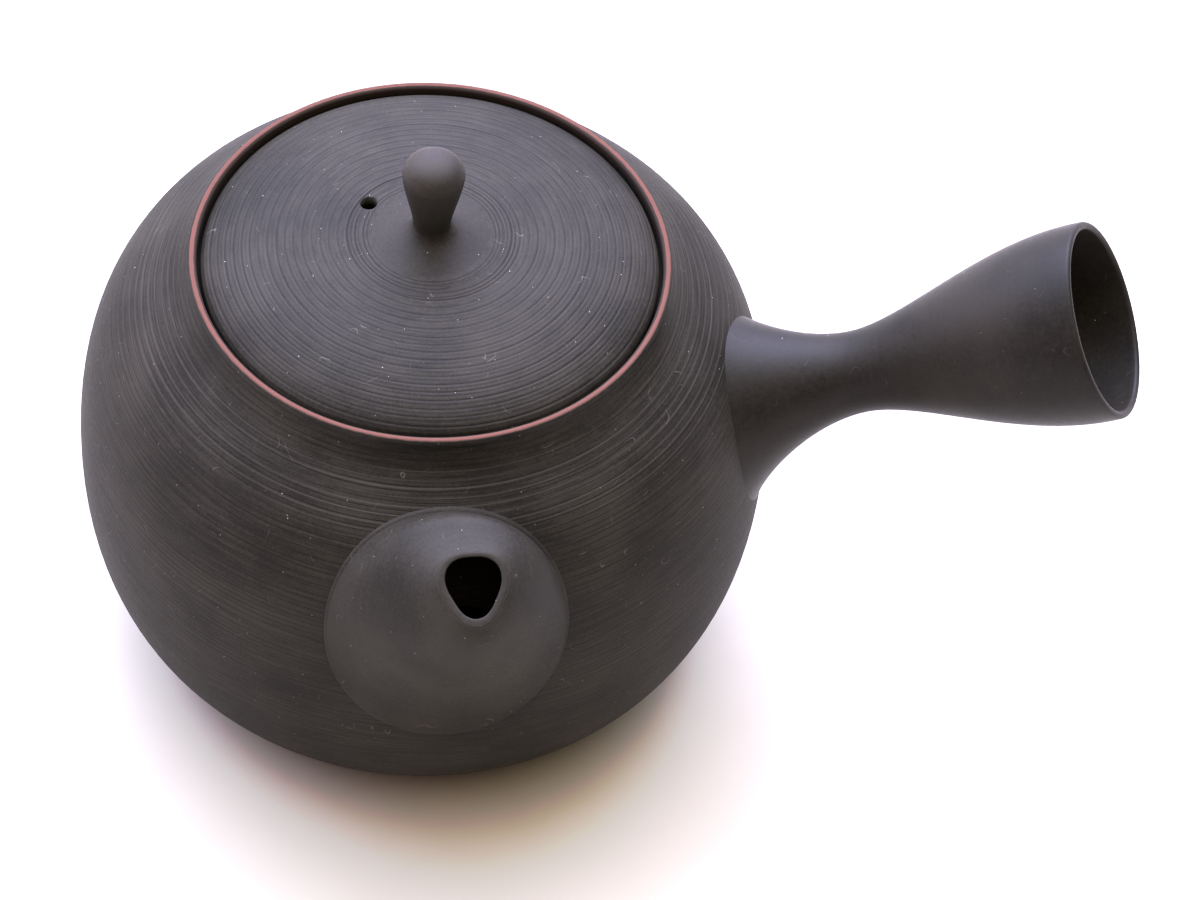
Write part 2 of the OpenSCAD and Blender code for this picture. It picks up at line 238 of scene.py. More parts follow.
def lathe(line: np.ndarray, cols: int, relief: Optional[np.ndarray] = None) -> np.ndarray:
    """Carry a flat profile round the pot's axis.

    A point of the profile at radius r and height z goes to (r cos a, r sin a, z) for evenly
    spaced angles a, after a shift along the profile's normal by the relief.

    Args:
        line: profile of radii and heights.
        cols: number of points round the axis.
        relief: outward shift in millimetres, one per row, or one per row and column.

    Returns:
        The grid of points.
    """
    flat = np.repeat(line[:, None], cols, 1)
    if relief is not None:
        shift = relief if relief.ndim == 2 else relief[:, None]
        flat = flat + outward(line)[:, None] * shift[..., None]
    a = np.linspace(0.0, 2 * np.pi, cols, endpoint=False)
    return np.stack([flat[..., 0] * np.cos(a), flat[..., 0] * np.sin(a), flat[..., 1]], -1)


def drill(piece: bpy.types.Object, cutter: bpy.types.Object) -> None:
    """Cut a hole through a piece and remove the cutter.

    Args:
        piece: the piece to cut, whose mesh is replaced.
        cutter: a closed mesh that fills the hole.
    """
    cut = piece.modifiers.new("hole", "BOOLEAN")
    cut.object = cutter
    cut.operation = "DIFFERENCE"
    cut.solver = "MANIFOLD"
    ready = piece.evaluated_get(bpy.context.evaluated_depsgraph_get())
    old, piece.data = piece.data, bpy.data.meshes.new_from_object(ready)
    name = old.name
    piece.modifiers.clear()
    bpy.data.meshes.remove(old)
    piece.data.name = name
    mesh = cutter.data
    bpy.data.objects.remove(cutter)
    bpy.data.meshes.remove(mesh)


def rod(name: str, start: np.ndarray, end: np.ndarray, radius: float, cols: int = 48) -> bpy.types.Object:
    """A plain round rod, used as a drill: circles at its two ends, closed by fans.

    Args:
        name: name of the object.
        start: middle of one end.
        end: middle of the other end.
        radius: radius of the rod.
        cols: number of points round it.

    Returns:
        The new object.
    """
    axis = (end - start) / np.linalg.norm(end - start)
    side = np.cross(axis, [0.0, 1.0, 0.0] if abs(axis[1]) < 0.9 else [1.0, 0.0, 0.0])
    side /= np.linalg.norm(side)
    a = np.linspace(0.0, 2 * np.pi, cols, endpoint=False)[:, None]
    circle = radius * (np.cos(a) * side + np.sin(a) * np.cross(axis, side))
    point = np.zeros_like(circle)
    grid = np.stack([point + start, circle + start, circle + end, point + end])
    return mesh_from_grid(name, grid, False, {})


# Finishes


def add_node(tree: Tree, kind: str, wires: Optional[dict] = None, **settings: Any) -> bpy.types.Node:
    """Add one shader node with its settings and links.

    Args:
        tree: the material's or world's node tree.
        kind: the node's type.
        wires: for each input, by name or number, a value or an output socket to link.
        **settings: the node's own properties.

    Returns:
        The new node.
    """
    node = tree.nodes.new(kind)
    for key, value in settings.items():
        setattr(node, key, value)
    for key, value in (wires or {}).items():
        if isinstance(value, bpy.types.NodeSocket):
            tree.links.new(value, node.inputs[key])
        else:
            node.inputs[key].default_value = value
    return node


def attribute(tree: Tree, name: str) -> Socket:
    """Number that the mesh carries under a name."""
    return add_node(tree, "ShaderNodeAttribute", attribute_name=name).outputs["Fac"]


def noise(tree: Tree, where: Socket, scale: float, detail: float = 2.0, rough: float = 0.5) -> Socket:
    """Cloudy noise on the given coordinates, from about 0 to 1."""
    wires = {"Vector": where, "Scale": scale, "Detail": detail, "Roughness": rough}
    return add_node(tree, "ShaderNodeTexNoise", wires).outputs["Fac"]


def maths(tree: Tree, operation: str, *values: Any) -> Socket:
    """One step of arithmetic on numbers."""
    return add_node(tree, "ShaderNodeMath", dict(enumerate(values)), operation=operation).outputs[0]


def vectors(tree: Tree, operation: str, *values: Any) -> Socket:
    """One step of arithmetic on vectors."""
    return add_node(tree, "ShaderNodeVectorMath", dict(enumerate(values)), operation=operation).outputs[0]


def ramp(tree: Tree, value: Socket, ends: Pair, to: Pair = (0.0, 1.0), smooth: bool = False) -> Socket:
    """Value carried from between two ends to between two others, and held beyond them.

    Args:
        tree: the node tree.
        value: the value.
        ends: where the ramp starts and stops, the first larger than the second for a falling one.
        to: what it gives there.
        smooth: whether it eases in and out.

    Returns:
        The new value.
    """
    wires = {0: value, 1: ends[0], 2: ends[1], 3: to[0], 4: to[1]}
    kind = "SMOOTHSTEP" if smooth else "LINEAR"
    return add_node(tree, "ShaderNodeMapRange", wires, interpolation_type=kind).outputs[0]


def mixed(tree: Tree, share: Socket, under: Any, over: Any) -> Socket:
    """One colour laid over another by a share from 0 to 1."""
    return add_node(tree, "ShaderNodeMix", {0: share, 6: under, 7: over}, data_type="RGBA").outputs[2]


def new_material(name: str) -> bpy.types.Material:
    """Empty node material."""
    made = bpy.data.materials.new(name)
    made.use_nodes = True
    made.node_tree.nodes.clear()
    return made


def per_metre(size_mm: float) -> float:
    """Scale of a pattern on Object coordinates whose features are that many millimetres wide."""
    return 1.0 / (size_mm * MM)


@dataclass(frozen=True)
class Stoneware:
    """Fine black stoneware, fired without glaze.

    Iron and smoke make it black with a warm cast. The surface is a dense matt skin of fine
    grit: a broad soft sheen under a window of light and slow changes of tone. Crests are painted
    paler, a painted highlight, and furrows and scratches darker, painted shade.
    """

    name: str
    deep: str = "#1c1a15"
    pale: str = "#333029"
    tone_span: float = 0.35
    patch_mm: float = 15.0
    # The crest colour is a painted highlight on raised crests, and the furrow colour painted shade in furrows
    # and scratches.
    crest: str = "#57524b"
    crest_ends: Pair = (0.1, 1.0)
    crest_highlight: float = 0.35
    furrow_shade: str = "#0b0a09"
    furrow_ends: Pair = (-0.1, -1.0)
    furrow_shade_share: float = 0.75
    grain_mm: float = 0.7
    grain_share: float = 0.35
    grit_mm: float = 0.32
    grit_share: float = 0.5
    grit_depth_mm: float = 0.02
    streak_mm: float = 0.45
    streak_round_mm: float = 2.5
    streak_share: float = 0.7
    streak_depth_mm: float = 0.012
    gloss: Pair = (0.48, 0.58)
    gloss_ends: Pair = (0.3, 0.7)
    specular: float = 0.1
    index: float = 1.5
    speck: str = "#a09990"
    speck_mm: float = 1.3
    speck_size_mm: float = 0.1
    speck_ends: Pair = (0.3, 1.0)
    speck_edge: float = 0.02
    lint: float = 0.2
    lint_mm: float = 5.0
    lint_thin: Pair = (0.005, 0.001)
    lint_spot: float = 0.6
    lint_spot_ends: Pair = (0.68, 0.76)
    line_mm: Optional[float] = None
    line_stray: float = 0.6
    line_edge: Pair = (0.16, 0.04)
    line_press_ends: Pair = (0.3, 0.6)
    line_press: Pair = (0.35, 1.0)
    line_shade_share: float = 0.5
    line_depth_mm: float = 0.03
    # The band colour lies along the top of the rim, paler than band_deep as a painted highlight.
    band: Optional[str] = None
    band_deep: str = "#332a24"
    band_inside: float = 0.25
    band_edge: Pair = (0.66, 0.5)
    band_highlight: Pair = (0.58, 0.4)
    waver_mm: float = 1.6
    waver_share: float = 0.3

    def material(self) -> bpy.types.Material:
        """Build the node material of this ware.

        Returns:
            The material.
        """
        made = new_material(self.name)
        tree = made.node_tree
        where = add_node(tree, "ShaderNodeTexCoord").outputs["Object"]
        run = attribute(tree, "run_mm")
        patch = noise(tree, where, per_metre(self.patch_mm), 4.0)
        grain = noise(tree, where, per_metre(self.grain_mm))
        grit = noise(tree, where, per_metre(self.grit_mm))
        streak = self.streaks(tree, where, run)
        parts = ((grain, self.grain_share), (grit, self.grit_share), (streak, self.streak_share))
        colour = self.clay(tree, patch, parts)
        reliefs = [(grit, self.grit_depth_mm), (streak, self.streak_depth_mm)]
        if self.line_mm:
            scratch = self.scratches(tree, run, patch)
            reliefs.append((scratch, -self.line_depth_mm))
            # Painted shade: the scratches are painted darker with the furrow colour, besides their bump.
            scratch_shade = maths(tree, "MULTIPLY", scratch, self.line_shade_share)
            colour = mixed(tree, scratch_shade, colour, linear(self.furrow_shade))
        colour = self.dusted(tree, where, colour)
        if self.band:
            colour = self.banded(tree, where, colour)
        wires = {"Base Color": colour, "Roughness": ramp(tree, grain, self.gloss_ends, self.gloss),
                 "IOR": self.index, "Specular IOR Level": self.specular}
        for height, depth_mm in reliefs:
            below = {"Normal": wires["Normal"]} if "Normal" in wires else {}
            bump = {"Strength": 1.0, "Distance": depth_mm * MM, "Height": height, **below}
            wires["Normal"] = add_node(tree, "ShaderNodeBump", bump).outputs[0]
        skin = add_node(tree, "ShaderNodeBsdfPrincipled", wires)
        add_node(tree, "ShaderNodeOutputMaterial", {"Surface": skin.outputs[0]})
        return made

    def streaks(self, tree: Tree, where: Socket, run: Socket) -> Socket:
        """Streaks of the tool, each many times as long as it is wide.

        The noise is read along the profile, and round the axis on a much smaller circle.

        Args:
            tree: the material's node tree.
            where: Object coordinates.
            run: place along the profile.

        Returns:
            Strength of the streaks.
        """
        level = vectors(tree, "MULTIPLY", where, (1.0, 1.0, 0.0))
        level = vectors(tree, "NORMALIZE", level)
        along = add_node(tree, "ShaderNodeCombineXYZ", {"Z": run}).outputs[0]
        circle = (self.streak_round_mm, self.streak_round_mm, 0.0)
        course = vectors(tree, "MULTIPLY_ADD", level, circle, along)
        return noise(tree, course, 1.0 / self.streak_mm, 3.0, 0.6)

    def clay(self, tree: Tree, patch: Socket, parts: Sequence[tuple[Socket, float]]) -> Socket:
        """Slow patches of tone with finer parts in them, crests painted paler as a painted highlight and
        furrows painted darker as painted shade.

        Args:
            tree: the material's node tree.
            patch: the slow patches.
            parts: each finer pattern with its share in the tone.

        Returns:
            Colour of the clay, with its painted highlight and shade.
        """
        tone, middle = patch, 0.5
        for part, share in parts:
            tone = maths(tree, "MULTIPLY_ADD", part, share, tone)
            middle += share / 2
        tone = ramp(tree, tone, (middle - self.tone_span, middle + self.tone_span), smooth=True)
        colour = mixed(tree, tone, linear(self.deep), linear(self.pale))
        # Painted light: crests painted paler, a painted highlight, and furrows painted darker, painted shade
        # in the grooves.
        crest = attribute(tree, "crest")
        crest_highlight_share = ramp(tree, crest, self.crest_ends, (0.0, self.crest_highlight))
        colour = mixed(tree, crest_highlight_share, colour, linear(self.crest))
        painted_shade = ramp(tree, crest, self.furrow_ends, (0.0, self.furrow_shade_share))
        return mixed(tree, painted_shade, colour, linear(self.furrow_shade))

    def scratches(self, tree: Tree, run: Socket, patch: Socket) -> Socket:
        """Fine rings scratched by grains that the tool dragged round, deeper here and fainter there.

        Args:
            tree: the material's node tree.
            run: place along the profile.
            patch: the slow patches.

        Returns:
            Strength of the scratches.
        """
        wires = {"W": run, "Scale": 1.0 / self.line_mm, "Randomness": self.line_stray}
        ring = add_node(tree, "ShaderNodeTexVoronoi", wires, voronoi_dimensions="1D").outputs["Distance"]
        ring = ramp(tree, ring, self.line_edge, smooth=True)
        press = ramp(tree, patch, self.line_press_ends, self.line_press)
        return maths(tree, "MULTIPLY", ring, press)

    def dusted(self, tree: Tree, where: Socket, colour: Socket) -> Socket:
        """Lay pale grains of many sizes and short fibres of dust on the clay.

        A fibre is a short stretch of a thin contour line of a noise.

        Args:
            tree: the material's node tree.
            where: Object coordinates.
            colour: colour of the clay.

        Returns:
            Colour of the clay with the dust on it.
        """
        cell = add_node(tree, "ShaderNodeTexVoronoi", {"Vector": where, "Scale": per_metre(self.speck_mm)})
        chance = add_node(tree, "ShaderNodeSeparateColor", {0: cell.outputs["Color"]}).outputs[0]
        size = ramp(tree, chance, self.speck_ends, (0.0, self.speck_size_mm / self.speck_mm))
        inside = maths(tree, "SUBTRACT", size, cell.outputs["Distance"])
        dot = ramp(tree, inside, (0.0, self.speck_edge))
        colour = mixed(tree, dot, colour, linear(self.speck))
        wisp = noise(tree, where, per_metre(self.lint_mm), 1.0)
        off = maths(tree, "ABSOLUTE", maths(tree, "SUBTRACT", wisp, 0.5))
        thin = ramp(tree, off, self.lint_thin)
        spot = noise(tree, where, per_metre(self.lint_mm * self.lint_spot), 0.0)
        spot = ramp(tree, spot, self.lint_spot_ends, (0.0, self.lint))
        fibre = maths(tree, "MULTIPLY", thin, spot)
        return mixed(tree, fibre, colour, linear(self.speck))

    def banded(self, tree: Tree, where: Socket, colour: Socket) -> Socket:
        """Lay the red line of iron slip over the edge of the rim, painted paler along its top as a painted
        highlight.

        Args:
            tree: the material's node tree.
            where: Object coordinates.
            colour: colour of the clay.

        Returns:
            Colour of the clay with the line on it.
        """
        side = attribute(tree, "band_mm")
        waver = noise(tree, where, per_metre(self.waver_mm), 3.0)
        reach = maths(tree, "MAXIMUM", side, maths(tree, "MULTIPLY", side, -self.band_inside))
        edge = maths(tree, "MULTIPLY_ADD", waver, self.waver_share, reach)
        line = ramp(tree, edge, self.band_edge, smooth=True)
        # Painted highlight: the slip is painted paler along the top of the rim.
        off = maths(tree, "MULTIPLY_ADD", waver, self.waver_share, maths(tree, "ABSOLUTE", side))
        highlight_paint = ramp(tree, off, self.band_highlight, smooth=True)
        slip = mixed(tree, highlight_paint, linear(self.band_deep), linear(self.band))
        return mixed(tree, line, colour, slip)


def burnished(piece: str) -> Stoneware:
    """Finish of a piece of the same clay, burnished smooth before firing, with hardly any streaks."""
    return Stoneware(f"burnished black stoneware, {piece}", streak_share=0.2, streak_depth_mm=0.004)


@dataclass(frozen=True)
class PaleTable:
    """Matt white table: a plain pale floor with the faintest grain and no shine."""

    name: str = "matt white table"
    pale: str = "#c9c3b5"
    dim: str = "#c5bfb0"
    grain_mm: float = 9.0
    roughness: float = 0.8

    def material(self) -> bpy.types.Material:
        """Build the node material of the floor."""
        made = new_material(self.name)
        tree = made.node_tree
        where = add_node(tree, "ShaderNodeTexCoord").outputs["Object"]
        grain = noise(tree, where, per_metre(self.grain_mm))
        colour = mixed(tree, grain, linear(self.dim), linear(self.pale))
        skin = add_node(tree, "ShaderNodeBsdfPrincipled", {"Base Color": colour, "Roughness": self.roughness})
        add_node(tree, "ShaderNodeOutputMaterial", {"Surface": skin.outputs[0]})
        return made


def dress(piece: bpy.types.Object, finish: Stoneware, node: str, carrier: Carrier) -> None:
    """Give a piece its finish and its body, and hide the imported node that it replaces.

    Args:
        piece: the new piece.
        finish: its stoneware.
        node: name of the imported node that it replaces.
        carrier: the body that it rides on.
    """
    piece.data.materials.clear()
    piece.data.materials.append(finish.material())
    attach(piece, carrier.value)
    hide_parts(node)
    LOG.info("%s: %d points, %d faces", piece.name, len(piece.data.vertices), len(piece.data.polygons))


# Turning marks


@dataclass(frozen=True)
class TurningMarks:
    """Line that a tool leaves on clay as the piece spins: a spiral, or rings. Lengths are in mm."""

    seed: int
    start: float
    end: float
    pitch: float
    jitter: float
    width: float
    height: float
    between: float = 0.0
    wind: int = 0
    burr: float = 0.0

    def relief(self, run: np.ndarray, cols: int) -> np.ndarray:
        """Shift of the surface in millimetres, in rows along the profile and columns round it.

        The line lies at the start plus the pitch times its turn number, and wanders from there by
        seeded shares of the pitch. Across the line the shift is a narrow bell of seeded height, a
        groove where the height is negative, with a fainter line half way between two turns, and
        on its far side a burr of the opposite sign that the tool pushed up. The turn number grows
        round the piece for a wind of 1 and falls for -1, so that the turns join up into a spiral.
        For 0 they stay rings.

        Args:
            run: places along the profile.
            cols: number of points round the axis.

        Returns:
            The shift at each place and angle.
        """
        rng = np.random.default_rng(self.seed)
        count = int((self.end - self.start) / self.pitch) + 1
        knots = np.arange(-1, count + 2)
        wander = rng.uniform(-self.jitter, self.jitter, len(knots))
        strength = rng.uniform(0.6, 1.25, len(knots))
        spread = rng.uniform(0.85, 1.2, len(knots))
        turn = np.arange(count)[:, None] + self.wind * np.arange(cols) / cols
        relief = np.zeros((len(run), cols))
        for part, share in ((0.0, 1.0), (0.5, self.between)):
            at = turn + part
            place = self.start + self.pitch * (at + np.interp(at, knots, wander))
            tall = share * self.height * np.interp(at, knots, strength)
            wide = self.width * np.interp(at, knots, spread)
            across = (run[:, None, None] - place) / wide
            bell = np.exp(-across ** 2) - self.burr * np.exp(-(across - 2.0) ** 2)
            relief += (tall * bell).sum(1)
        after = np.clip((run - self.start) / self.pitch, 0.0, 1.0)
        before = np.clip((self.end - run) / self.pitch, 0.0, 1.0)
        return relief * (after * before)[:, None]

    def drift(self, run: np.ndarray, cols: int, least: float) -> np.ndarray:
        """How strongly the marks show round the piece: a sum of slow waves of angle and place.

        Args:
            run: places along the profile.
            cols: number of points round the axis.
            least: smallest share of the full relief.

        Returns:
            Shares from least to one, in rows and columns.
        """
        rng = np.random.default_rng(self.seed + 1)
        a = np.linspace(0.0, 2 * np.pi, cols, endpoint=False)
        count = 9
        turns = rng.integers(1, 7, count)[:, None, None]
        waves = rng.uniform(4.0, 26.0, count)[:, None, None]
        phases = rng.uniform(0.0, 2 * np.pi, count)[:, None, None]
        wave = np.cos(turns * a[None, None] + run[None, :, None] / waves + phases).mean(0)
        return least + (1 - least) * np.clip(0.5 + 1.1 * wave, 0.0, 1.0)


# Pieces


@dataclass
class Body:
    """Thrown round pot with a flat foot, a full belly, a thin collar and a ledge for the lid."""

    belly_r: float = 55.0
    belly_h: float = 38.5
    rim_h: float = 79.0
    foot_r: float = 39.7
    collar_r: float = 37.9
    collar_h: float = 1.8
    collar_root: float = 1.6
    collar_t: float = 1.5
    rim_round: float = 0.72
    shoulder_reach: float = 29.2
    shoulder_end: float = 7.0
    shoulder_angle: float = 60.5
    hip_reach: float = 20.3
    heel_end: float = 11.8
    heel_angle: float = 36.0
    wall: float = 3.0
    floor_t: float = 4.0
    floor_r: float = 30.0
    seat_depth: float = 4.4
    ledge_t: float = 2.6
    mouth_r: float = 32.5
    inside_turn: float = 0.9
    port_az: float = -78.8
    port_z: float = 46.0
    port_r: float = 11.5
    cols: int = 136
    tooled: float = 19.0
    fine_step: float = 0.08
    plain_step: float = 0.4
    hollow_step: float = 1.6
    foot_rows: int = 24
    foot_edge: float = 0.5
    finish: Stoneware = field(default_factory=lambda: Stoneware(
        "turned black stoneware", band="#573c31", line_mm=1.0, streak_share=0.85, streak_depth_mm=0.015,
        gloss=(0.56, 0.66)))

    @property
    def root(self) -> np.ndarray:
        """Point where the shoulder meets the root of the collar."""
        lean = self.collar_root / math.tan(math.radians(self.shoulder_angle))
        return np.array([self.collar_r + lean, self.rim_h - self.collar_h - self.collar_root])

    @property
    def shoulder(self) -> list:
        """Control points of the outside from the belly up to the collar."""
        a = math.radians(self.shoulder_angle)
        pull = self.root + self.shoulder_end * np.array([math.cos(a), -math.sin(a)])
        belly = [self.belly_r, self.belly_h]
        return [belly, [self.belly_r, self.belly_h + self.shoulder_reach], pull, self.root]

    def outside(self, count: int = 600) -> np.ndarray:
        """Outer profile from foot to collar: two cubic curves that meet at the belly."""
        a = math.radians(self.heel_angle)
        heel = [[self.foot_r, 0.0],
                [self.foot_r + self.heel_end * math.cos(a), self.heel_end * math.sin(a)],
                [self.belly_r, self.belly_h - self.hip_reach], [self.belly_r, self.belly_h]]
        t = np.linspace(0.0, 1.0, count)
        return joined(cubic(heel, t), cubic(self.shoulder, t))

    def radius(self, z: np.ndarray) -> np.ndarray:
        """Outer radius at a height, read off the outer profile."""
        line = self.outside()
        return np.interp(z, line[:, 1], line[:, 0])

    def hollow(self, count: int = 400) -> np.ndarray:
        """Inner profile from the ledge down to the middle of the floor.

        The upper part lies one wall thickness inside the shoulder. The lower part is a cubic curve
        to the floor.
        """
        wide = self.belly_r - self.wall
        bowl = [[self.floor_r, self.floor_t], [(self.floor_r + self.belly_r) / 2 + self.wall, self.floor_t],
                [wide, self.belly_h - self.hip_reach], [wide, self.belly_h]]
        t = np.linspace(0.0, 1.0, count)
        upper = cubic_beside(self.shoulder, self.inside_turn * t, self.wall)
        return joined(upper[::-1], cubic(bowl, t)[::-1], np.array([[0.0, self.floor_t]]))

    def rim(self) -> np.ndarray:
        """Profile of the collar, its rounded rim and the ledge inside it."""
        r = self.rim_round
        inner = self.collar_r - self.collar_t
        seat = self.rim_h - self.seat_depth
        foot = np.array([self.collar_r, self.rim_h - self.collar_h])
        up = evenly(np.array([self.root, foot, [self.collar_r, self.rim_h - r]]), 0.2)
        over = joined(arc([self.collar_r - r, self.rim_h - r], r, 0, 90, 9),
                      arc([inner + r, self.rim_h - r], r, 90, 180, 9))
        corner, nose = 0.2, 0.3
        down = np.array([[inner, seat + 1.2], [inner, seat + corner], [inner - corner, seat],
                         [self.mouth_r + nose, seat], [self.mouth_r, seat - nose],
                         [self.mouth_r, seat - self.ledge_t]])
        return joined(up, over, evenly(down, 0.9))

    def build(self) -> bpy.types.Object:
        """Turn the profile, with its marks, and cut the port for the spout.

        Returns:
            The dressed piece.
        """
        foot = np.linspace(0.0, self.foot_r - self.foot_edge, self.foot_rows)
        base = np.stack([foot, np.zeros(self.foot_rows)], -1)
        outline = self.outside()
        tooled = lengths(outline) > lengths(outline)[-1] - self.tooled
        outside = joined(evenly(outline[~tooled], self.plain_step)[2:],
                         evenly(outline[tooled], self.fine_step))
        rim = self.rim()
        hollow = evenly(self.hollow(), self.hollow_step)
        line = joined(base, outside, rim, hollow)
        run = lengths(line)
        rim_row = int(np.argmax(line[:, 1] > self.rim_h - 1e-6))
        down = run[rim_row] - run
        ridges = TurningMarks(seed=3, start=3.9, end=3.4 + self.tooled, pitch=1.4, jitter=0.1,
                              width=0.16, height=0.042, between=0.25, wind=-1)
        throwing = TurningMarks(seed=8, start=9.0, end=run[-1] - run[rim_row] - 6.0, pitch=5.5,
                                jitter=0.3, width=2.2, height=0.16)
        cutting = TurningMarks(seed=11, start=3.0, end=self.foot_r - 3.0, pitch=1.9, jitter=0.4,
                               width=0.6, height=-0.06)
        # The tool pressed hardest below the collar and hardly any more where the belly begins
        press = np.interp(down, [3.4, 15.0, 19.0, 23.0], [1.0, 1.0, 0.45, 0.2])
        relief = press[:, None] * ridges.relief(down, self.cols) * ridges.drift(down, self.cols, 0.5)
        # The ridges' height is the crest mark, by which the material paints a highlight on them.
        crest = np.clip(relief / ridges.height, 0.0, 1.0)
        relief = relief + np.where(down < 0, throwing.relief(-down, self.cols).T, 0.0).T
        relief = relief + np.where(line[:, 1] < 1e-6, cutting.relief(line[:, 0], self.cols).T, 0.0).T
        relief[[0, -1]] = 0.0
        marks = {"crest": crest, "run_mm": run, "band_mm": down}
        piece = mesh_from_grid("body", lathe(line, self.cols, relief), False, marks)
        way = np.array([[self.belly_r / 2, 0.0, self.port_z], [self.belly_r * 1.2, 0.0, self.port_z]])
        drill(piece, rod("port drill", *turned_about(way, self.port_az), self.port_r))
        dress(piece, self.finish, "body", Carrier.POT)
        return piece


@dataclass
class Lid:
    """Drop-in lid: a low dome cut with fine grooves, a flange below and a steam hole."""

    body: Body
    edge_gap: float = 0.6
    flange_gap: float = 0.5
    edge_depth: float = 1.95
    edge_round: float = 2.0
    crown_h: float = 5.4
    crown_angle: float = 2.5
    skirt_angle: float = 40.5
    dome_reach: float = 5.1
    thick: float = 3.2
    flange_h: float = 5.0
    flange_t: float = 2.2
    steam_r: float = 1.35
    steam_at: float = 11.6
    steam_az: float = 154.7
    knob_base_r: float = 9.2
    cols: int = 160
    fine_step: float = 0.06
    side_step: float = 0.8
    under_step: float = 1.1
    finish: Stoneware = field(default_factory=lambda: Stoneware("turned black stoneware, lid", crest_highlight=0.24))

    @property
    def crown_z(self) -> float:
        """Height of the seat of the knob."""
        return self.body.rim_h + self.crown_h

    @property
    def radius(self) -> float:
        """Outer radius of the lid."""
        return self.body.collar_r - self.body.collar_t - self.edge_gap

    def build(self) -> bpy.types.Object:
        """Turn the lid's profile with its grooves and drill the steam hole.

        Returns:
            The dressed piece.
        """
        b, r, seat = self.body, self.radius, self.body.rim_h - self.body.seat_depth
        flange_r = b.mouth_r - self.flange_gap
        low, end = seat - self.flange_h, self.flange_t / 3
        skirt = math.radians(self.skirt_angle)
        centre = np.array([r - self.edge_round, b.rim_h - self.edge_depth])
        edge = centre + self.edge_round * np.array([math.sin(skirt), math.cos(skirt)])
        drop = self.dome_reach * math.tan(math.radians(self.crown_angle))
        t = np.linspace(0.0, 1.0, 400)
        top = cubic([[self.knob_base_r, self.crown_z],
                     [self.knob_base_r + self.dome_reach, self.crown_z - drop],
                     edge + self.dome_reach * np.array([-1.0, math.tan(skirt)]), edge], t)
        under = cubic([[self.knob_base_r, self.crown_z - self.thick],
                       [self.knob_base_r + self.dome_reach, self.crown_z - self.thick - drop],
                       [flange_r - self.flange_t, seat + 2 * self.thick],
                       [flange_r - self.flange_t, seat]], t)
        side = np.array([[r, seat + self.edge_round / 2], [r - self.edge_round / 2, seat], [flange_r, seat],
                         [flange_r, low + end], [flange_r - end, low], [flange_r - self.flange_t + end, low],
                         [flange_r - self.flange_t, low + end], [flange_r - self.flange_t, seat]])
        seat_disc = np.array([[0.0, self.crown_z], [self.knob_base_r / 2, self.crown_z]])
        dome = evenly(top, self.fine_step)
        line = joined(seat_disc, dome, arc(centre, self.edge_round, 90 - self.skirt_angle, 0, 16),
                      evenly(side, self.side_step), evenly(under[::-1], self.under_step),
                      np.array([[0.0, self.crown_z - self.thick]]))
        line = line[::-1]
        run = lengths(line)
        out = run[-1] - run
        reach = self.knob_base_r + lengths(top)[-1]
        grooves = TurningMarks(seed=5, start=self.knob_base_r + 0.6, end=reach + 1.6, pitch=1.37,
                               jitter=0.1, width=0.15, height=-0.04, between=0.35, wind=1, burr=0.45)
        rings = TurningMarks(seed=6, start=self.knob_base_r + 0.2, end=self.knob_base_r + 4.6, pitch=0.62,
                             jitter=0.2, width=0.1, height=-0.03, burr=0.5)
        relief = grooves.relief(out, self.cols) * grooves.drift(out, self.cols, 0.7)
        relief = relief + rings.relief(out, self.cols)
        relief[[0, -1]] = 0.0
        # The grooves' depth and burr are the crest mark, by which the material paints shade in the grooves
        # and a highlight on the burrs.
        marks = {"crest": np.clip(relief / abs(grooves.height), -1.0, 1.0), "run_mm": run}
        piece = mesh_from_grid("lid", lathe(line, self.cols, relief), False, marks)
        hole = np.array([[self.steam_at, 0.0, seat], [self.steam_at, 0.0, self.crown_z + 4]])
        drill(piece, rod("steam drill", *turned_about(hole, self.steam_az), self.steam_r))
        dress(piece, self.finish, "lid", Carrier.COVER)
        return piece


@dataclass
class Knob:
    """Drumstick knob whose flared base runs out smoothly on the lid."""

    lid: Lid
    neck_r: float = 2.9
    neck_h: float = 2.8
    head_r: float = 4.85
    head_h: float = 13.2
    tall: float = 16.8
    taper: float = 0.3
    crown: float = 0.66
    sink: float = 0.05
    foot_t: float = 0.4
    flare_reach: float = 3.4
    flare_h: float = 0.36
    flare_end: float = 1.0
    # Share of the painted highlight on the head of the knob.
    highlight_paint: float = 0.6
    cols: int = 112
    finish: Stoneware = field(default_factory=lambda: burnished("knob"))

    def build(self) -> bpy.types.Object:
        """Turn the knob: three cubic curves for the flare, the stem and the head.

        Returns:
            The dressed piece.
        """
        base, neck, head = self.lid.knob_base_r + 0.1, self.neck_r, self.head_r
        stem, gain = self.head_h - self.neck_h, head - neck
        t = np.linspace(0.0, 1.0, 48)
        flare = cubic([[base, -self.sink], [base - self.flare_reach, self.flare_h],
                       [neck, self.flare_end], [neck, self.neck_h]], t)
        shaft = cubic([[neck, self.neck_h],
                       [neck + gain * self.taper / 2, self.neck_h + stem * self.taper],
                       [head - gain * self.taper / 2, self.head_h - stem * self.taper],
                       [head, self.head_h]], t)
        top = self.tall - self.head_h
        ball = cubic([[head, self.head_h], [head, self.head_h + top * self.crown],
                      [head * self.crown, self.tall], [0.0, self.tall]], t)
        floor = np.array([[0.0, -self.foot_t], [base * 0.6, -self.foot_t], [base, -self.foot_t]])
        line = joined(floor, flare, shaft, ball) + np.array([0.0, self.lid.crown_z])
        run = lengths(line)
        # Painted light: the knob is painted paler from the neck up to the head, a painted highlight where
        # light falls on the head
        head_light_share = np.clip((line[:, 1] - self.lid.crown_z - self.neck_h) / stem, 0.0, 1.0)
        marks = {"crest": self.highlight_paint * head_light_share, "run_mm": run}
        piece = mesh_from_grid("knob", lathe(line, self.cols), False, marks)
        dress(piece, self.finish, "knob", Carrier.COVER)
        return piece


